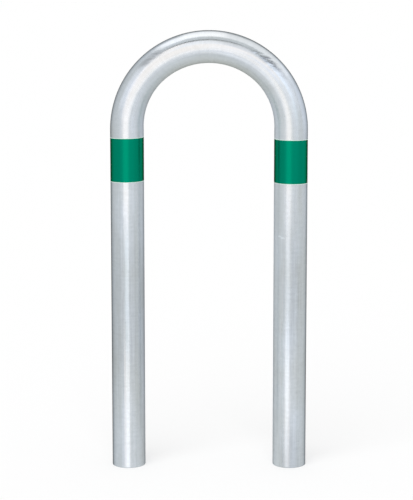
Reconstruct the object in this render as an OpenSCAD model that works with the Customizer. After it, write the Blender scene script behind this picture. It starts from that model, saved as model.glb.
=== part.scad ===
// Impact protection hoop: one steel tube bent to an upside-down U, hot-dip galvanised,
// with a green retroreflective band round each leg.
// The frame is in millimetres. The origin lies midway between the legs on the plane of
// their open lower ends, +X runs along the hoop's width and +Z up to the crown.

/* [Tube] */
// Outside diameter of the steel tube
tube_d = 76.1; // [60.3:0.1:114.3]
// Wall thickness of the tube
tube_wall = 2.9; // [2:0.1:5]

/* [Hoop] */
// Height from the leg ends to the top of the crown
hoop_height = 1000; // [900:5:1300]
// Distance between the centre lines of the two legs
leg_spacing = 370; // [300:5:500]

/* [Reflective bands] */
// Height of each band, measured along the leg
band_height = 100; // [40:1:200]
// Distance from the start of the bend down to the top edge of the left band
left_band_drop = 17; // [0:0.5:150]
// The same for the right band, which was laid by hand a little lower
right_band_drop = 21; // [0:0.5:150]
// Thickness of the film with its adhesive
film_thickness = 0.11; // [0.08:0.01:0.2]
// Length by which the end of each film overlaps its beginning, at the back of the leg
film_lap = 12; // [5:1:40]

/* [Hidden] */
round_sides = 180;
tube_r = tube_d / 2;
bore_r = tube_r - tube_wall;
bend_r = leg_spacing / 2;
leg_length = hoop_height - tube_r - bend_r;
left_band_bottom = leg_length - left_band_drop - band_height;
right_band_bottom = leg_length - right_band_drop - band_height;
lap_angle = film_lap / (tube_r + film_thickness) * 180 / PI;
// Overrun that carries each leg's bore cleanly out through its open end
cut_over = 1;
steel_zinc = "#bcc6cd";
reflective_green = "#00805e";

// A hoop of round bar of the given radius: the half-turn bend and both legs.
// The legs end at the given height, or below it where that is negative.
module bent_bar(radius, end_z) {
    translate([0, 0, leg_length])
        rotate([90, 0, 0])
            rotate_extrude(angle = 180, $fn = round_sides)
                translate([bend_r, 0])
                    circle(r = radius, $fn = round_sides);
    for (side = [-1, 1])
        translate([side * bend_r, 0, end_z])
            cylinder(r = radius, h = leg_length - end_z, $fn = round_sides);
}

// One steel tube bent cold through 180 degrees, galvanised inside and out, open at both
// lower ends.
module hoop_tube() {
    color(steel_zinc)
        difference() {
            bent_bar(tube_r, 0);
            bent_bar(bore_r, -cut_over);
        }
}

// One strip of retroreflective film wound once round a leg and stuck to it. Its end laps
// over its beginning, so the wall is two films thick there.
module reflective_band() {
    difference() {
        union() {
            cylinder(r = tube_r + film_thickness, h = band_height, $fn = round_sides);
            rotate([0, 0, 90 - lap_angle / 2])
                rotate_extrude(angle = lap_angle, $fn = round_sides)
                    square([tube_r + 2 * film_thickness, band_height]);
        }
        translate([0, 0, -cut_over])
            cylinder(r = tube_r, h = band_height + 2 * cut_over, $fn = round_sides);
    }
}

module left_reflective_band() {
    color(reflective_green)
        translate([-bend_r, 0, left_band_bottom])
            reflective_band();
}

module right_reflective_band() {
    color(reflective_green)
        translate([bend_r, 0, right_band_bottom])
            reflective_band();
}

hoop_tube();
left_reflective_band();
right_reflective_band();
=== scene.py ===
import math
import bpy
import numpy as np
from mathutils import Matrix, Vector


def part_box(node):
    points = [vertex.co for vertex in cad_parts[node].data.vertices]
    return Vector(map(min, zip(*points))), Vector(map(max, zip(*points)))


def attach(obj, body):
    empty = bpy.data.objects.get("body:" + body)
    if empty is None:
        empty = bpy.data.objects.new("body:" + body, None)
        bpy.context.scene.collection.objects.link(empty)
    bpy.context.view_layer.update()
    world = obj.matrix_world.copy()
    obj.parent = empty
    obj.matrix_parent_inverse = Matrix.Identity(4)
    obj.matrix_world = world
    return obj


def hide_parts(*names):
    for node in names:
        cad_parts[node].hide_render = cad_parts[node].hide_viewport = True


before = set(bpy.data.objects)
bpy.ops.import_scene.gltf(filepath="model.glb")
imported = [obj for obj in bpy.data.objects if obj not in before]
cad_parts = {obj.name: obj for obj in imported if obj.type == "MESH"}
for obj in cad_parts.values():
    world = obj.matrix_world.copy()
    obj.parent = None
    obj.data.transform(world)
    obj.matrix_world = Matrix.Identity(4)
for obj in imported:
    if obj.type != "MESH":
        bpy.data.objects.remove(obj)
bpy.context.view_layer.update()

# Camera: a long lens a good three and a half metres in front of the hoop and a little above
# its crown, tilted down by some 7.6 degrees. The lens shift lifts the hoop to the middle.
picture_long_side = 500  # height of the 413 x 500 picture, in pixels
focal_length_px = 1629
hoop_right_of_middle_px = 2.5
hoop_above_axis_px = 60
camera_place = (0, -3.66, 1.126)
camera_tilt = math.radians(7.58)

camera_data = bpy.data.cameras.new("camera")
camera_data.sensor_width = 36
camera_data.lens = focal_length_px * camera_data.sensor_width / picture_long_side
camera_data.shift_x = -hoop_right_of_middle_px / picture_long_side
camera_data.shift_y = -hoop_above_axis_px / picture_long_side
camera = bpy.data.objects.new("camera", camera_data)
camera.location = camera_place
camera.rotation_euler = (math.pi / 2 - camera_tilt, 0, 0)
bpy.context.scene.collection.objects.link(camera)
bpy.context.scene.camera = camera

# Hoop tube: one length of welded steel tube, 76.1 x 2.9 mm, bent cold through a half turn and
# then hot-dip galvanised inside and out. The bend has drawn its inner side a little flat, the
# weld left a bead in the bore and a trimmed line outside, both along the back of the tube.
wall = 0.0029
edge_round = 0.0009  # the sawn end's outer edge, filed and then rounded by the zinc
burr_round = 0.0006  # the same on the bore's edge
flat_peak = 0.085  # how far the bend's inner half is pressed in, as a share of the radius
flat_crown = 0.065  # the same at the crown, which lay against the former
weld_angle = math.pi / 2  # round the tube from its outer side: the back
bead_height = 0.0009
bead_width = 0.0030
trim_depth = 0.00010
trim_width = 0.0060

low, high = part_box("hoop_tube")
tube_radius = (high.y - low.y) / 2
bend_radius = (high.x - low.x) / 2 - tube_radius
leg_length = high.z - bend_radius - tube_radius
tube_length = 2 * leg_length + math.pi * bend_radius


def hoop_section(s, angle, depth, bead):
    """Points of the tube, one row for each s and one column for each angle. s runs up the left
    leg, round the half turn and down the right leg. The section is a circle less depth, and
    less the weld's bead or its trimmed line at the back. On the side that faces the bend's
    centre it is pressed in by a share that grows from nothing where the bend starts to its
    peak at 45 degrees, and falls off a little towards the crown."""
    turn = np.clip((s - leg_length) / bend_radius, 0, math.pi)
    height = np.minimum(np.minimum(s, leg_length), tube_length - s)
    from_weld = np.abs(angle - weld_angle) * tube_radius
    ridge = bead_height * np.exp(-((2 * from_weld / bead_width) ** 2))
    trim = trim_depth * np.exp(-((2 * from_weld / trim_width) ** 4))
    radius = tube_radius - depth[:, None] - bead[:, None] * ridge - (1 - bead[:, None]) * trim
    left_rise = np.sin(np.minimum(2 * turn, math.pi / 2))
    right_rise = np.sin(np.minimum(2 * (math.pi - turn), math.pi / 2))
    towards_crown = np.clip(-np.cos(2 * turn), 0, 1)
    pressed = left_rise * right_rise * (flat_peak + (flat_crown - flat_peak) * towards_crown)
    outward = radius * np.cos(angle)
    outward = outward * np.where(np.cos(angle) < 0, 1 - pressed[:, None], 1)
    back = radius * np.sin(angle)
    reach = bend_radius + outward
    across = -reach * np.cos(turn)[:, None]
    up = height[:, None] + reach * np.sin(turn)[:, None]
    points = np.stack([across, back, up], -1)
    straight = np.stack([radius * np.cos(angle), back, s[:, None] + 0 * back], -1)
    return points, straight


def grid_faces(rows, columns, close_rows=False):
    """Four-sided faces of a grid of points, row by row. Each row closes on itself, and where
    close_rows is set the last row meets the first."""
    row = np.arange(rows if close_rows else rows - 1)[:, None]
    column = np.arange(columns)[None, :]
    next_row = (row + 1) % rows
    next_column = (column + 1) % columns
    corners = [
        row * columns + column,
        next_row * columns + column,
        next_row * columns + next_column,
        row * columns + next_column,
    ]
    return np.stack(corners, -1).reshape(-1, 4)


def add_piece(name, points, faces, place_name, place):
    """A mesh object of these points and faces, smooth, with the points' places on the
    straight tube or strip in an attribute that the materials read."""
    mesh = bpy.data.meshes.new(name)
    mesh.from_pydata(points.reshape(-1, 3).tolist(), [], faces.tolist())
    mesh.polygons.foreach_set("use_smooth", np.ones(len(faces), bool))
    attribute = mesh.attributes.new(place_name, "FLOAT_VECTOR", "POINT")
    attribute.data.foreach_set("vector", place.reshape(-1).astype(np.float32))
    mesh.update()
    piece = bpy.data.objects.new(name, mesh)
    bpy.context.scene.collection.objects.link(piece)
    return piece


# The rows go up the outside from the left leg's end to the right one's, over the sawn edge,
# back through the bore and over the left edge, so that the wall is one closed skin.
leg_steps, bend_steps, rim_steps = 4, 144, 5
near_end = 0.004  # the plain leg's first row stands this far above its end
quarter = np.linspace(0, math.pi / 2, rim_steps + 1)
rim_s = np.concatenate([edge_round * (1 - np.sin(quarter)), burr_round * (1 - np.cos(quarter))])
rim_depth = np.concatenate([
    edge_round * (1 - np.cos(quarter)),
    wall - burr_round * (1 - np.sin(quarter)),
])
leg_rows = np.linspace(near_end, leg_length, leg_steps + 1)
bend_rows = leg_length + math.pi * bend_radius * np.linspace(0, 1, bend_steps + 1)
outer_s = np.concatenate([leg_rows[:-1], bend_rows, (tube_length - leg_rows)[-2::-1]])
inner_s = tube_length - outer_s
rows_s = np.concatenate([outer_s, tube_length - rim_s, inner_s, rim_s[::-1]])
rows_depth = np.concatenate([0 * outer_s, rim_depth, 0 * inner_s + wall, rim_depth[::-1]])
rows_bead = np.concatenate([0 * outer_s, 0 * rim_s, 0 * inner_s + 1, 0 * rim_s])

# The columns are even round the tube, and give way to closer ones across the weld.
round_steps, weld_steps = 144, 18
weld_half_angle = 0.12  # the closer columns reach this far to either side of the weld
weld_margin = 0.01  # and no even column lies nearer to them than this
even_angles = np.linspace(0, 2 * math.pi, round_steps, endpoint=False)
clear_of_weld = np.abs(even_angles - weld_angle) > weld_half_angle + weld_margin
weld_angles = weld_angle + np.linspace(-weld_half_angle, weld_half_angle, weld_steps + 1)
columns_angle = np.sort(np.concatenate([even_angles[clear_of_weld], weld_angles]))

points, straight = hoop_section(rows_s, columns_angle, rows_depth, rows_bead)
faces = grid_faces(len(rows_s), len(columns_angle), close_rows=True)
hoop = add_piece("galvanised_hoop_tube", points, faces, "straight_tube", straight)

# The zinc's roughness at these distances along the tube from the left leg's end
roughness_along_tube = (
    (0.00, 0.19), (0.12, 0.19), (0.22, 0.15), (0.50, 0.135), (0.64, 0.21),
    (0.85, 0.27), (1.00, 0.19), (1.13, 0.19), (1.28, 0.27), (1.56, 0.27),
    (1.70, 0.23), (1.78, 0.22), (1.90, 0.20), (2.02, 0.22), (2.13, 0.25),
)

# Marks on the zinc: each has a tone and one patch or two. A patch has its middle along the
# tube and its angle round it in degrees, where 0 is the outer side and -90 the front. Then
# come its reach round the tube and along it, and the share of that reach that is soft edge.
right_shoulder = leg_length + bend_radius * math.radians(106)
zinc_marks = (
    # dull half-way up the left leg, all round
    (0.87, [(0.37, 0, 0.300, 0.300, 0.9)]),
    # dull on the right leg's front, half-way up and at the foot
    (0.85, [(tube_length - 0.43, -90, 0.034, 0.240, 0.8), (tube_length, -90, 0.034, 0.150, 0.8)]),
    # dull under the right shoulder
    (0.88, [(right_shoulder, -108, 0.015, 0.140, 0.8)]),
    # a small pale scuff on the right leg, in two strokes
    (1.20, [(tube_length - 0.5370, -133, 0.0070, 0.0030, 0.7),
            (tube_length - 0.5340, -120, 0.0080, 0.0030, 0.7)]),
)

# A matt smear on the left shoulder and a few runs on the right one, placed as the marks are.
# Their feathers slant down to the tube's inner side, and each has its tone between the feathers
# and its tone on them: darker tones that are partly the zinc's own and partly painted reflection.
smear_angle, runs_angle = -51, -57
smear_patch = (leg_length + bend_radius * math.radians(51), smear_angle, 0.016, 0.052, 1.0)
runs_patch = (leg_length + bend_radius * math.radians(131), runs_angle, 0.016, 0.064, 0.8)
smear_tones_and_painted_reflection = (0.74, 0.56)
runs_tones_and_painted_reflection = (0.97, 0.66)
feather_slant = math.radians(37)


def linear(hex_colour):
    """The linear colour of an sRGB hex value."""
    levels = [int(hex_colour[i:i + 2], 16) / 255 for i in (1, 3, 5)]
    return [v / 12.92 if v <= 0.04045 else ((v + 0.055) / 1.055) ** 2.4 for v in levels] + [1]


def add_node(tree, kind, settings=None, links=None):
    """Add one node. A setting is one of its properties or the value of an input socket, and a
    link joins an input socket to another node's output. A number stands for a socket by its
    place: on a Map Range node 0 is the value, 1 and 2 are its limits, and 3 and 4 are what
    these become, which is 0 and 1 where they aren't set."""
    node = tree.nodes.new(kind)
    for name, value in (settings or {}).items():
        if isinstance(name, str) and hasattr(node, name):
            setattr(node, name, value)
        else:
            node.inputs[name].default_value = value
    for name, output in (links or {}).items():
        tree.links.new(output, node.inputs[name])
    return node


def new_material(name):
    """An empty material and its node tree."""
    material = bpy.data.materials.new(name)
    material.use_nodes = True
    material.node_tree.nodes.clear()
    return material, material.node_tree


def hot_dip_zinc():
    """Hot-dip galvanised steel, a few weeks old: bright blue-grey zinc with a satin gloss. It
    froze as it ran off the tube, so it has clouds, fine streaks along the tube, faint rings
    round it, faint crystals and a slightly lumpy skin. Its gloss changes slowly along the
    tube, its bore is matt, and it has the smear, the runs and the marks that are listed above.
    All of it is read on the straightened tube, so it follows the bend."""
    cloud_round, cloud_along = 0.045, 0.170
    streak_round, streak_along = 0.0045, 0.110
    ring_round, ring_along = 0.030, 0.005
    crystal_size = 0.007
    lump_round, lump_along = 0.006, 0.022
    feather_round, feather_along = 0.009, 0.030
    grain_size = 0.0022  # real grain is near 1 mm, drawn twice as coarse so that it shows
    lump_height, grain_height = 0.00012, 0.00002
    runs_height, smear_height = 0.0015, 0.0016
    # the part of each noise's values that the pattern is spread over
    cloud_low, cloud_high = 0.34, 0.66
    streak_low, streak_high = 0.25, 0.75
    ring_low, ring_high = 0.3, 0.7
    feather_low, feather_high = 0.42, 0.60
    streak_contrast, ring_contrast, crystal_contrast = 0.035, 0.025, 0.025
    streak_matt = 0.04  # how far the streaks take the roughness up and down
    smear_matt, inner_matt, under_crown_matt, bore_matt = 0.18, 0.2, 0.10, 0.35
    side_start = 0.3 * tube_radius  # the inner and outer sides begin this far off the tube's axis
    under_start, under_full = 0.3 * tube_radius, -0.4 * tube_radius  # of the crown's underside
    crown_reach, bend_reach = 0.08, 0.24  # the crown's look fades out between these distances
    crown_lumps = 0.35  # the bend has drawn the zinc smooth, so this share of its lumps is left
    # painted light and shade: how far the inner and outer sides are painted lighter or darker
    inner_painted_light, outer_painted_shade = (-0.03, 0.15), (-0.08, -0.04)  # at the left leg and the right
    gain_start, gain_end = 0.35 * tube_length, 0.65 * tube_length
    raggedness = 0.5  # how far the streaks eat into the edge of a patch
    skin_depth = 0.0005  # what lies deeper than this is the wall's end or the bore
    material, tree = new_material("hot_dip_zinc")
    place = add_node(tree, "ShaderNodeAttribute", {"attribute_name": "straight_tube"})
    on_tube = place.outputs["Vector"]

    def stretched(round_size, along_size):
        """Places measured in one length round the tube and another along it."""
        scale = (1 / round_size, 1 / round_size, 1 / along_size)
        return add_node(tree, "ShaderNodeMapping", {"Scale": scale}, {"Vector": on_tube})

    def patch(s, angle, reach_round, reach_along, edge):
        """1 at a point of the tube's skin, fading to 0 at a ragged oval of this reach, with a
        soft edge that is this share of it."""
        turn = math.radians(angle)
        centre = Vector((tube_radius * math.cos(turn), tube_radius * math.sin(turn), s))
        per_reach = (1 / reach_round, 1 / reach_round, 1 / reach_along)
        rim = 1 + raggedness / 2
        offset = add_node(tree, "ShaderNodeVectorMath", {"operation": "SUBTRACT", 1: centre},
                          {0: on_tube})
        scaled = add_node(tree, "ShaderNodeVectorMath", {"operation": "MULTIPLY", 1: per_reach},
                          {0: offset.outputs[0]})
        distance = add_node(tree, "ShaderNodeVectorMath", {"operation": "LENGTH"},
                            {0: scaled.outputs[0]})
        ragged = add_node(tree, "ShaderNodeMath", {"operation": "MULTIPLY_ADD", 1: raggedness},
                          {0: streak.outputs[0], 2: distance.outputs["Value"]})
        return add_node(tree, "ShaderNodeMapRange",
                        {"interpolation_type": "SMOOTHSTEP", 1: rim, 2: rim - edge},
                        {0: ragged.outputs[0]})

    def marked(mark_tone, patches):
        """The tone of a mark: 1 away from its patches, and this tone where one of them is whole."""
        share = patch(*patches[0])
        for next_patch in patches[1:]:
            share = add_node(tree, "ShaderNodeMath", {"operation": "MAXIMUM"},
                             {0: share.outputs[0], 1: patch(*next_patch).outputs[0]})
        return add_node(tree, "ShaderNodeMapRange", {3: 1.0, 4: mark_tone},
                        {0: share.outputs[0]})

    def feathers(angle, slant):
        """Noise drawn out along a line that slants across the tube at this angle round it."""
        turn = math.radians(angle)
        normal = Vector((math.cos(turn), math.sin(turn), 0))
        round_tube = Vector((-math.sin(turn), math.cos(turn), 0))
        drawn_out = Vector((0, 0, 1)) * math.cos(slant) + round_tube * math.sin(slant)
        rotation = Matrix((normal, drawn_out.cross(normal), drawn_out)).transposed().to_euler()
        size = (feather_round, feather_round, feather_along)
        slanted = add_node(tree, "ShaderNodeMapping",
                           {"vector_type": "TEXTURE", "Rotation": rotation, "Scale": size},
                           {"Vector": on_tube})
        return add_node(tree, "ShaderNodeTexNoise", {"Scale": 1, "Detail": 2},
                        {"Vector": slanted.outputs[0]})

    def feathered(share, wave, plain, darkest):
        """The tone of a patch: plain between its feathers and darkest on them, partly painted
        reflection.
        """
        on_feather = add_node(tree, "ShaderNodeMapRange",
                              {"interpolation_type": "SMOOTHSTEP", 1: feather_low,
                               2: feather_high, 3: plain, 4: darkest},
                              {0: wave.outputs[0]})
        return add_node(tree, "ShaderNodeMapRange", {3: 1.0},
                        {0: share.outputs[0], 4: on_feather.outputs[0]})

    # How far a place lies towards the bend's inner side and its outer side, and off the crown
    parts = add_node(tree, "ShaderNodeSeparateXYZ", {}, {0: on_tube})
    outwards, along_tube = parts.outputs["X"], parts.outputs["Z"]
    inward = add_node(tree, "ShaderNodeMapRange",
                      {"interpolation_type": "SMOOTHSTEP", 1: -side_start, 2: -tube_radius},
                      {0: outwards})
    outward = add_node(tree, "ShaderNodeMapRange",
                       {"interpolation_type": "SMOOTHSTEP", 1: side_start, 2: tube_radius},
                       {0: outwards})
    from_middle = add_node(tree, "ShaderNodeMath", {"operation": "SUBTRACT", 1: tube_length / 2},
                           {0: along_tube})
    from_crown = add_node(tree, "ShaderNodeMath", {"operation": "ABSOLUTE"},
                          {0: from_middle.outputs[0]})
    off_crown = add_node(tree, "ShaderNodeMapRange",
                         {"interpolation_type": "SMOOTHSTEP", 1: crown_reach, 2: bend_reach},
                         {0: from_crown.outputs[0]})
    near_crown = add_node(tree, "ShaderNodeMath", {"operation": "SUBTRACT", 0: 1.0},
                          {1: off_crown.outputs[0]})

    # Colour: cloudy blue-grey, and under the crown a plainer grey that is painted reflection of the
    # floor
    cloud_place = stretched(cloud_round, cloud_along)
    cloud = add_node(tree, "ShaderNodeTexNoise", {"Scale": 1, "Detail": 3, "Roughness": 0.55},
                     {"Vector": cloud_place.outputs[0]})
    cloud_share = add_node(tree, "ShaderNodeMapRange", {1: cloud_low, 2: cloud_high},
                           {0: cloud.outputs[0]})
    clouded = add_node(tree, "ShaderNodeMix",
                       {"data_type": "RGBA", 6: linear("#bac0c2"), 7: linear("#c2cad1")},
                       {0: cloud_share.outputs[0]})
    # painted reflection: the crown's inner underside takes the plainer grey of the floor mirrored
    # in it
    painted_floor_reflection_share = add_node(tree, "ShaderNodeMath", {"operation": "MULTIPLY"},
                            {0: inward.outputs[0], 1: near_crown.outputs[0]})
    zinc = add_node(tree, "ShaderNodeMix", {"data_type": "RGBA", 7: linear("#c3c8c6")},
                    {0: painted_floor_reflection_share.outputs[0], 6: clouded.outputs[2]})

    # Streaks, rings and crystals, all over
    streak_place = stretched(streak_round, streak_along)
    streak = add_node(tree, "ShaderNodeTexNoise", {"Scale": 1, "Detail": 4, "Roughness": 0.6},
                      {"Vector": streak_place.outputs[0]})
    streak_tone = add_node(tree, "ShaderNodeMapRange",
                           {1: streak_low, 2: streak_high,
                            3: 1 - streak_contrast, 4: 1 + streak_contrast},
                           {0: streak.outputs[0]})
    ring_place = stretched(ring_round, ring_along)
    ring = add_node(tree, "ShaderNodeTexNoise", {"Scale": 1, "Detail": 3},
                    {"Vector": ring_place.outputs[0]})
    ring_tone = add_node(tree, "ShaderNodeMapRange",
                         {1: ring_low, 2: ring_high, 3: 1 - ring_contrast, 4: 1 + ring_contrast},
                         {0: ring.outputs[0]})
    crystal = add_node(tree, "ShaderNodeTexVoronoi", {"Scale": 1 / crystal_size},
                       {"Vector": on_tube})
    crystal_grey = add_node(tree, "ShaderNodeRGBToBW", {}, {0: crystal.outputs["Color"]})
    crystal_tone = add_node(tree, "ShaderNodeMapRange",
                            {3: 1 - crystal_contrast, 4: 1 + crystal_contrast},
                            {0: crystal_grey.outputs[0]})

    # Painted light and shade on the inner and outer sides: the outer side is painted darker, and
    # the inner side a little darker at the left leg and lighter at the right one
    inner_painted_light_along = add_node(tree, "ShaderNodeMapRange",
                          {1: gain_start, 2: gain_end, 3: inner_painted_light[0], 4: inner_painted_light[1]},
                          {0: along_tube})
    outer_painted_shade_along = add_node(tree, "ShaderNodeMapRange",
                          {1: gain_start, 2: gain_end, 3: outer_painted_shade[0], 4: outer_painted_shade[1]},
                          {0: along_tube})
    inner_side_painted_light = add_node(tree, "ShaderNodeMath", {"operation": "MULTIPLY"},
                          {0: inward.outputs[0], 1: inner_painted_light_along.outputs[0]})
    outer_side_painted_shade = add_node(tree, "ShaderNodeMath", {"operation": "MULTIPLY"},
                          {0: outward.outputs[0], 1: outer_painted_shade_along.outputs[0]})
    sides_painted_light_and_shade = add_node(tree, "ShaderNodeMath", {"operation": "ADD"},
                          {0: inner_side_painted_light.outputs[0], 1: outer_side_painted_shade.outputs[0]})
    side_painted_light_tone = add_node(tree, "ShaderNodeMath", {"operation": "MULTIPLY_ADD", 2: 1.0},
                         {0: sides_painted_light_and_shade.outputs[0], 1: off_crown.outputs[0]})

    # The smear, the runs and the marks, and then all the tones as one
    smear = patch(*smear_patch)
    smear_feathers = feathers(smear_angle, -feather_slant)
    runs = patch(*runs_patch)
    runs_feathers = feathers(runs_angle, feather_slant)
    tones = [
        crystal_tone,
        ring_tone,
        side_painted_light_tone,
        feathered(smear, smear_feathers, *smear_tones_and_painted_reflection),
        feathered(runs, runs_feathers, *runs_tones_and_painted_reflection),
    ]
    tones += [marked(*mark) for mark in zinc_marks]
    tone = streak_tone
    for next_tone in tones:
        tone = add_node(tree, "ShaderNodeMath", {"operation": "MULTIPLY"},
                        {0: tone.outputs[0], 1: next_tone.outputs[0]})
    toned = add_node(tree, "ShaderNodeVectorMath", {"operation": "SCALE"},
                     {0: zinc.outputs[2], "Scale": tone.outputs[0]})

    # Roughness: its slow change along the tube, and what the smear, the inner side, the
    # streaks, the underside of the crown and the bore add to it
    share_of_length = add_node(tree, "ShaderNodeMath", {"operation": "DIVIDE", 1: tube_length},
                               {0: along_tube})
    slow_rough = add_node(tree, "ShaderNodeValToRGB", {}, {0: share_of_length.outputs[0]})
    stops = slow_rough.color_ramp.elements
    while len(stops) < len(roughness_along_tube):
        stops.new(0.5)
    for stop, (s, value) in zip(stops, roughness_along_tube):
        stop.position = s / tube_length
        stop.color = (value, value, value, 1)
    smear_rough = add_node(tree, "ShaderNodeMath", {"operation": "MULTIPLY_ADD", 1: smear_matt},
                           {0: smear.outputs[0], 2: slow_rough.outputs[0]})
    inner_rough = add_node(tree, "ShaderNodeMath", {"operation": "MULTIPLY_ADD", 1: inner_matt},
                           {0: inward.outputs[0], 2: smear_rough.outputs[0]})
    streak_rough = add_node(tree, "ShaderNodeMapRange",
                            {1: streak_low, 2: streak_high, 3: -streak_matt, 4: streak_matt},
                            {0: streak.outputs[0]})
    lower_half = add_node(tree, "ShaderNodeMapRange",
                          {"interpolation_type": "SMOOTHSTEP", 1: under_start,
                           2: under_full, 4: under_crown_matt},
                          {0: outwards})
    under_crown = add_node(tree, "ShaderNodeMath", {"operation": "MULTIPLY"},
                           {0: lower_half.outputs[0], 1: near_crown.outputs[0]})
    flattened = add_node(tree, "ShaderNodeVectorMath", {"operation": "MULTIPLY", 1: (1, 1, 0)},
                         {0: on_tube})
    from_axis = add_node(tree, "ShaderNodeVectorMath", {"operation": "LENGTH"},
                         {0: flattened.outputs[0]})
    in_bore = add_node(tree, "ShaderNodeMapRange",
                       {1: tube_radius - skin_depth, 2: tube_radius - wall, 4: bore_matt},
                       {0: from_axis.outputs["Value"]})
    rough = inner_rough
    for added in (streak_rough, under_crown, in_bore):
        rough = add_node(tree, "ShaderNodeMath", {"operation": "ADD"},
                         {0: rough.outputs[0], 1: added.outputs[0]})

    # Bumps: lumps, the feathers of the runs and the smear, and the grain
    lump_place = stretched(lump_round, lump_along)
    lump = add_node(tree, "ShaderNodeTexNoise", {"Scale": 1, "Detail": 2},
                    {"Vector": lump_place.outputs[0]})
    lump_share = add_node(tree, "ShaderNodeMapRange", {3: crown_lumps, 4: 1.0},
                          {0: off_crown.outputs[0]})
    lumps = add_node(tree, "ShaderNodeBump", {"Distance": lump_height},
                     {"Height": lump.outputs[0], "Strength": lump_share.outputs[0]})
    runs_bumps = add_node(tree, "ShaderNodeBump", {"Distance": runs_height},
                          {"Height": runs_feathers.outputs[0], "Strength": runs.outputs[0],
                           "Normal": lumps.outputs[0]})
    smear_bumps = add_node(tree, "ShaderNodeBump", {"Distance": smear_height},
                           {"Height": smear_feathers.outputs[0], "Strength": smear.outputs[0],
                            "Normal": runs_bumps.outputs[0]})
    grain = add_node(tree, "ShaderNodeTexNoise", {"Scale": 1 / grain_size, "Detail": 2},
                     {"Vector": on_tube})
    grains = add_node(tree, "ShaderNodeBump", {"Strength": 1, "Distance": grain_height},
                      {"Height": grain.outputs[0], "Normal": smear_bumps.outputs[0]})
    surface = add_node(tree, "ShaderNodeBsdfPrincipled",
                       {"Metallic": 1, "Specular Tint": linear("#7a7a7a")},
                       {"Base Color": toned.outputs[0], "Roughness": rough.outputs[0],
                        "Normal": grains.outputs[0]})
    add_node(tree, "ShaderNodeOutputMaterial", {}, {"Surface": surface.outputs[0]})
    return material


hoop.data.materials.append(hot_dip_zinc())
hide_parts("hoop_tube")
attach(hoop, "root")

# Reflective bands: a strip of green retroreflective film 100 mm wide, laid once round each leg
# by hand, so a little out of square, and stuck down with its end lapped over its beginning at
# the back. The green print stops just short of both cut edges, which show as pale lines.
film_thickness = 0.00011
film_lap = 0.012
lap_middle = math.pi / 2  # the back of the leg
climb = 0.002  # length over which the film's end climbs onto its beginning
glue_gap = 0.00001  # the film stands this clear of the zinc, so that no faces coincide
edge_strip = 0.0009
near_cut = 0.0004  # a first row of faces this wide keeps the film flat up to its cut edges
cut_angle = math.radians(40)  # faces that meet at more than this have a sharp edge
left_lay = math.radians(0.8)  # the left film rises to the right, the right one falls
right_lay = math.radians(-0.6)


def film_strip(middle_x, bottom, top, lay):
    """Points of one film, one row for each place along the strip and one column for each place
    round its thin oblong section. The strip goes round the leg once and a lap further, and
    climbs by its thickness in a smooth ramp just before it meets its own start. Its height
    follows a shallow helix that is true at the front."""
    wrap_steps, climb_steps, lap_steps, width_steps = 160, 8, 8, 8
    lap_angle = film_lap / tube_radius
    start = lap_middle - lap_angle / 2
    full_turn = start + 2 * math.pi
    begin_climb = full_turn - climb / tube_radius
    around = np.concatenate([
        np.linspace(start, begin_climb, wrap_steps + 1)[:-1],
        np.linspace(begin_climb, full_turn, climb_steps + 1)[:-1],
        np.linspace(full_turn, full_turn + lap_angle, lap_steps + 1),
    ])
    ramp = np.clip((around - begin_climb) * tube_radius / climb, 0, 1)
    lifted = glue_gap + (film_thickness + glue_gap / 2) * ramp * ramp * (3 - 2 * ramp)
    width = top - bottom
    printed = np.linspace(edge_strip, width - edge_strip, width_steps + 1)
    across = np.concatenate([[0, near_cut], printed, [width - near_cut, width]])
    section_across = np.concatenate([across, across[::-1]])
    section_depth = np.concatenate([0 * across + film_thickness - 2 * glue_gap, 0 * across])
    radius = tube_radius + lifted[:, None] + section_depth
    front = 3 * math.pi / 2
    height = bottom + section_across + tube_radius * math.tan(lay) * (around[:, None] - front)
    angle = around[:, None]
    points = np.stack([middle_x + radius * np.cos(angle), radius * np.sin(angle), height], -1)
    along_strip = np.broadcast_to(tube_radius * (angle - start), radius.shape)
    across_strip = np.broadcast_to(section_across, radius.shape)
    place = np.stack([along_strip, across_strip, radius - tube_radius], -1)
    return points, place


def add_film(name, node, middle_x, lay):
    """One band's film as a closed mesh, with both ends of the strip capped."""
    bottom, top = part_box(node)[0].z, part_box(node)[1].z
    points, place = film_strip(middle_x, bottom, top, lay)
    rows, columns = points.shape[:2]
    skin = grid_faces(rows, columns)
    column = np.arange(columns // 2 - 1)
    cap = np.stack([column, column + 1, columns - 2 - column, columns - 1 - column], -1)
    faces = np.concatenate([skin[:, ::-1], cap[:, ::-1], cap + (rows - 1) * columns])
    film = add_piece(name, points, faces, "on_strip", place)
    film.data.set_sharp_from_angle(angle=cut_angle)
    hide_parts(node)
    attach(film, "root")
    return film


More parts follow.
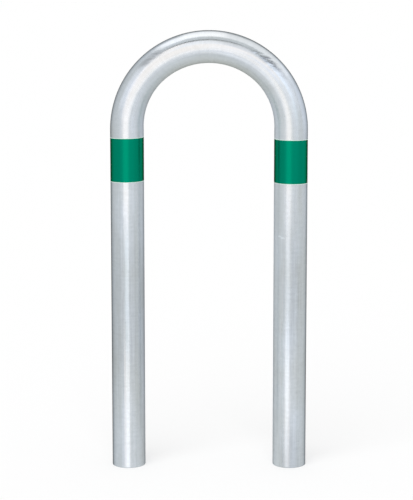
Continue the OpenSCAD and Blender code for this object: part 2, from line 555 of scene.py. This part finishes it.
def reflective_film():
    """Retroreflective sheeting: a clear green dyed plastic face over glass beads on a thin
    metallised layer, so that its soft sheen is green too. The face is smooth, with the faint
    bead grain showing through, and the unprinted edges are pale."""
    bead_grain = 0.0016  # the beads are near 0.1 mm, and their grain is drawn coarser to show
    ripple = 0.030
    grain_height, ripple_height = 0.00001, 0.0001
    grain_low, grain_high = 0.3, 0.7  # the part of the noise's values that it is spread over
    grain_contrast = 0.05
    metal_share = 0.95  # of the printed face, where the metallised layer shows through
    print_blur = 0.00015  # the print's edge is soft over this on both sides
    material, tree = new_material("reflective_film")
    place = add_node(tree, "ShaderNodeAttribute", {"attribute_name": "on_strip"})
    on_strip = place.outputs["Vector"]
    parts = add_node(tree, "ShaderNodeSeparateXYZ", {}, {0: on_strip})
    grain = add_node(tree, "ShaderNodeTexNoise", {"Scale": 1 / bead_grain, "Detail": 2},
                     {"Vector": on_strip})
    grain_tone = add_node(tree, "ShaderNodeMapRange",
                          {1: grain_low, 2: grain_high, 3: 1 - grain_contrast,
                           4: 1 + grain_contrast},
                          {0: grain.outputs[0]})
    green = add_node(tree, "ShaderNodeVectorMath", {"operation": "SCALE", 0: linear("#007a60")[:3]},
                     {"Scale": grain_tone.outputs[0]})
    half_width = (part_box("left_reflective_band")[1].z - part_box("left_reflective_band")[0].z) / 2
    print_edge = half_width - edge_strip
    from_middle = add_node(tree, "ShaderNodeMath", {"operation": "SUBTRACT", 1: half_width},
                           {0: parts.outputs["Y"]})
    distance = add_node(tree, "ShaderNodeMath", {"operation": "ABSOLUTE"},
                        {0: from_middle.outputs[0]})
    on_edge = add_node(tree, "ShaderNodeMapRange",
                       {1: print_edge - print_blur, 2: print_edge + print_blur},
                       {0: distance.outputs[0]})
    colour = add_node(tree, "ShaderNodeMix", {"data_type": "RGBA", 7: linear("#dff3ea")},
                      {0: on_edge.outputs[0], 6: green.outputs[0]})
    metallised = add_node(tree, "ShaderNodeMapRange", {3: metal_share, 4: 0.0},
                          {0: on_edge.outputs[0]})
    wave = add_node(tree, "ShaderNodeTexNoise", {"Scale": 1 / ripple, "Detail": 1},
                    {"Vector": on_strip})
    waves = add_node(tree, "ShaderNodeBump", {"Strength": 1, "Distance": ripple_height},
                     {"Height": wave.outputs[0]})
    grains = add_node(tree, "ShaderNodeBump", {"Strength": 1, "Distance": grain_height},
                      {"Height": grain.outputs[0], "Normal": waves.outputs[0]})
    surface = add_node(tree, "ShaderNodeBsdfPrincipled",
                       {"Roughness": 0.27, "IOR": 1.5, "Specular IOR Level": 0.05,
                        "Specular Tint": linear("#12352c")},
                       {"Base Color": colour.outputs[2], "Metallic": metallised.outputs[0],
                        "Normal": grains.outputs[0]})
    add_node(tree, "ShaderNodeOutputMaterial", {}, {"Surface": surface.outputs[0]})
    return material


film_material = reflective_film()
left_film = add_film("left_green_film", "left_reflective_band", -bend_radius, left_lay)
right_film = add_film("right_green_film", "right_reflective_band", bend_radius, right_lay)
left_film.data.materials.append(film_material)
right_film.data.materials.append(film_material)

# Floor: a pale sheet that runs out of sight. What the camera sees of it is part plain white and
# part lit paper, so that it stays white and still takes the hoop's shadow. Reflections see the
# white studio instead, a camera below it looks through it, and it shades no lamp under it.
floor_half = 60
paper_share = 0.45
floor_corners = [(-floor_half, -floor_half, 0), (floor_half, -floor_half, 0),
                 (floor_half, floor_half, 0), (-floor_half, floor_half, 0)]
floor_mesh = bpy.data.meshes.new("floor")
floor_mesh.from_pydata(floor_corners, [], [(0, 1, 2, 3)])
floor = bpy.data.objects.new("floor", floor_mesh)
floor.visible_glossy = False
floor.visible_shadow = False
bpy.context.scene.collection.objects.link(floor)


def seen_or_mirrored(tree):
    """1 for a ray from the camera, a reflection or a view through glass, and 0 for others."""
    path = add_node(tree, "ShaderNodeLightPath")
    either = add_node(tree, "ShaderNodeMath", {"operation": "MAXIMUM"},
                      {0: path.outputs["Is Camera Ray"], 1: path.outputs["Is Glossy Ray"]})
    return add_node(tree, "ShaderNodeMath", {"operation": "MAXIMUM"},
                    {0: either.outputs[0], 1: path.outputs["Is Transmission Ray"]})


def white_paper():
    """Matt white background paper, clear from below."""
    material, tree = new_material("white_paper")
    paper = add_node(tree, "ShaderNodeBsdfDiffuse", {"Color": linear("#f4f4f4")})
    white = add_node(tree, "ShaderNodeEmission", {"Strength": 1})
    white_share = add_node(tree, "ShaderNodeMath", {"operation": "MULTIPLY", 1: 1 - paper_share},
                           {0: seen_or_mirrored(tree).outputs[0]})
    both = add_node(tree, "ShaderNodeMixShader", {},
                    {0: white_share.outputs[0], 1: paper.outputs[0], 2: white.outputs[0]})
    clear = add_node(tree, "ShaderNodeBsdfTransparent")
    side = add_node(tree, "ShaderNodeNewGeometry")
    sheet = add_node(tree, "ShaderNodeMixShader", {},
                     {0: side.outputs["Backfacing"], 1: both.outputs[0], 2: clear.outputs[0]})
    add_node(tree, "ShaderNodeOutputMaterial", {}, {"Surface": sheet.outputs[0]})
    return material


floor.data.materials.append(white_paper())

# Studio: white all round. In front hang soft boxes in tiers, from below the feet to above the
# crown, brightest a little to the left, with more overhead and at both sides. They show in
# reflections alone, as two dark cards do, and a soft sun shades the matt surfaces.
world_light = 0.72  # what matt surfaces get from the white all round
world = bpy.data.worlds.new("studio")
world.use_nodes = True
world.node_tree.nodes.clear()
level = add_node(world.node_tree, "ShaderNodeMapRange", {3: world_light, 4: 1.0},
                 {0: seen_or_mirrored(world.node_tree).outputs[0]})
background = add_node(world.node_tree, "ShaderNodeBackground", {"Color": (1, 1, 1, 1)},
                      {"Strength": level.outputs[0]})
add_node(world.node_tree, "ShaderNodeOutputWorld", {}, {"Surface": background.outputs[0]})
bpy.context.scene.world = world


def soft_box(name, place, towards, width, height, brightness, tint):
    """A flat lamp of this brightness, which shows in reflections but not to the camera."""
    light = bpy.data.lights.new(name, "AREA")
    light.color = tint
    light.shape = "RECTANGLE"
    light.size = width
    light.size_y = height
    light.energy = brightness * math.pi * width * height
    lamp = bpy.data.objects.new(name, light)
    lamp.location = place
    lamp.rotation_euler = (Vector(towards) - Vector(place)).to_track_quat("-Z", "Y").to_euler()
    lamp.visible_camera = False
    lamp.visible_diffuse = False
    bpy.context.scene.collection.objects.link(lamp)


def front_box(name, left, right, bottom, top, distance, brightness, tint):
    """A soft box that hangs upright this far in front of the hoop, given by its edges."""
    x, z = (left + right) / 2, (bottom + top) / 2
    soft_box(name, (x, -distance, z), (x, 0, z), right - left, top - bottom, brightness, tint)


def overhead_box(name, left, right, front, back, height, brightness, tint):
    """A soft box that hangs flat above the hoop, given by its edges."""
    x, y = (left + right) / 2, (front + back) / 2
    soft_box(name, (x, y, height), (x, y, 0), right - left, back - front, brightness, tint)


def side_box(name, x, y, z, width, height, brightness, tint):
    """A soft box that stands upright beside the hoop and faces its middle."""
    soft_box(name, (x, y, z), (0, 0, z), width, height, brightness, tint)


# In front: left, right, bottom and top edge, distance, brightness and tint
front_box("low_strip", -0.50, 0.0, -0.45, -0.02, 1.2, 0.31, (0.85, 0.96, 1))
front_box("middle_strip", -0.50, 0.0, -0.02, 0.36, 1.2, 0.33, (0.88, 0.95, 1))
front_box("middle_box", -1.1, 0.16, -0.15, 0.3, 1.8, 0.16, (0.95, 0.98, 1))
front_box("low_box", -1.1, 0.16, -0.75, -0.15, 1.8, 0.46, (1, 0.8, 0.7))
front_box("upper_box", -1.0, 0.16, 0.3, 0.75, 1.8, 0.65, (1, 0.8, 0.74))
front_box("shoulder_box", -1.5, 0.6, 0.2, 0.75, 2.6, 0.15, (1, 1, 0.7))
front_box("left_crown_box", -2.2, 0.3, 0.75, 1.4, 2.6, 0.61, (1, 0.74, 0.53))
front_box("right_crown_box", 0.3, 1.6, 0.75, 1.4, 2.6, 0.38, (0.78, 0.82, 1))
front_box("high_box", -2.2, 1.6, 1.4, 2.2, 2.6, 0.59, (1, 0.74, 0.54))
front_box("left_top_box", -2.2, -0.9, 2.2, 4.1, 2.6, 0.75, (1, 0.8, 0.67))
front_box("top_box", -0.9, 0.3, 2.2, 4.1, 2.6, 0.61, (1, 0.91, 0.92))
front_box("right_top_box", 0.3, 1.6, 2.2, 4.1, 2.6, 0.21, (1, 0.8, 0.77))
front_box("far_right_box", 1.6, 3.6, 0.7, 3.4, 2.6, 0.33, (0.66, 0.84, 1))
front_box("front_fill", -5.0, 5.0, -3.0, 3.4, 4.5, 0.14, (0.88, 0.84, 1))

# Overhead: left, right, front and back edge, height, brightness and tint
overhead_box("overhead_left_box", -1.85, -0.8, -0.5, 1.6, 3.3, 0.76, (1, 0.9, 0.86))
overhead_box("overhead_box", -0.8, 0.5, -0.42, 2.8, 3.3, 0.91, (1, 0.9, 0.86))
overhead_box("overhead_middle_box", 0.5, 1.25, -0.5, 2.1, 3.3, 0.48, (1, 0.9, 0.88))
overhead_box("overhead_right_box", 1.25, 4.6, -0.6, 2.8, 3.3, 0.53, (1, 0.94, 0.97))

# At the sides: the middle's three coordinates, width, height, brightness and tint
side_box("right_box", 3.0, -2.0, 2.7, 2.9, 2.6, 0.5, (0.8, 0.8, 1))
side_box("right_window", 4.0, 1.9, 2.15, 5.0, 3.7, 0.36, (0.62, 0.7, 1))
side_box("left_box", -3.0, -2.0, 2.7, 2.9, 2.6, 0.31, (0.9, 0.86, 1))

# One card closes the slot between the front and the overhead boxes, which gives the dark line
# over the crown. The other, at the right, gives the dark stroke on the right shoulder.
card_glow = 0.35  # how bright they look in the zinc, where white is 1
slot_corners = [(-2.2, -1.75, 3.0), (1.2, -1.75, 3.0), (1.2, -1.75, 3.72), (-2.2, -1.75, 3.72)]
stroke_corners = [(1.7, -2.2, 3.6), (3.1, -0.65, 3.6), (4.1, -1.2, 3.6), (2.6, -3.0, 3.6)]
card_mesh = bpy.data.meshes.new("slot_card")
card_mesh.from_pydata(slot_corners + stroke_corners, [], [(0, 1, 2, 3), (4, 5, 6, 7)])
card = bpy.data.objects.new("slot_card", card_mesh)
card.visible_camera = False
card.visible_diffuse = False
card.visible_shadow = False
card_black, card_tree = new_material("black_card")
card_tone = add_node(card_tree, "ShaderNodeEmission", {"Strength": card_glow})
add_node(card_tree, "ShaderNodeOutputMaterial", {}, {"Surface": card_tone.outputs[0]})
card_mesh.materials.append(card_black)
bpy.context.scene.collection.objects.link(card)

sun_light = 0.5  # what a white surface that faces the sun gets from it
sun_width = math.radians(50)  # wide, so that the hoop's shadow is soft
sun_lean = math.radians(40)  # from straight overhead towards the camera
sun_swing = math.radians(-20)  # and from there to the left
sun_data = bpy.data.lights.new("soft_sun", "SUN")
sun_data.energy = sun_light * math.pi
sun_data.angle = sun_width
sun = bpy.data.objects.new("soft_sun", sun_data)
sun.rotation_euler = (sun_lean, 0, sun_swing)
sun.visible_glossy = False
bpy.context.scene.collection.objects.link(sun)

bpy.context.scene.view_settings.view_transform = "Standard"
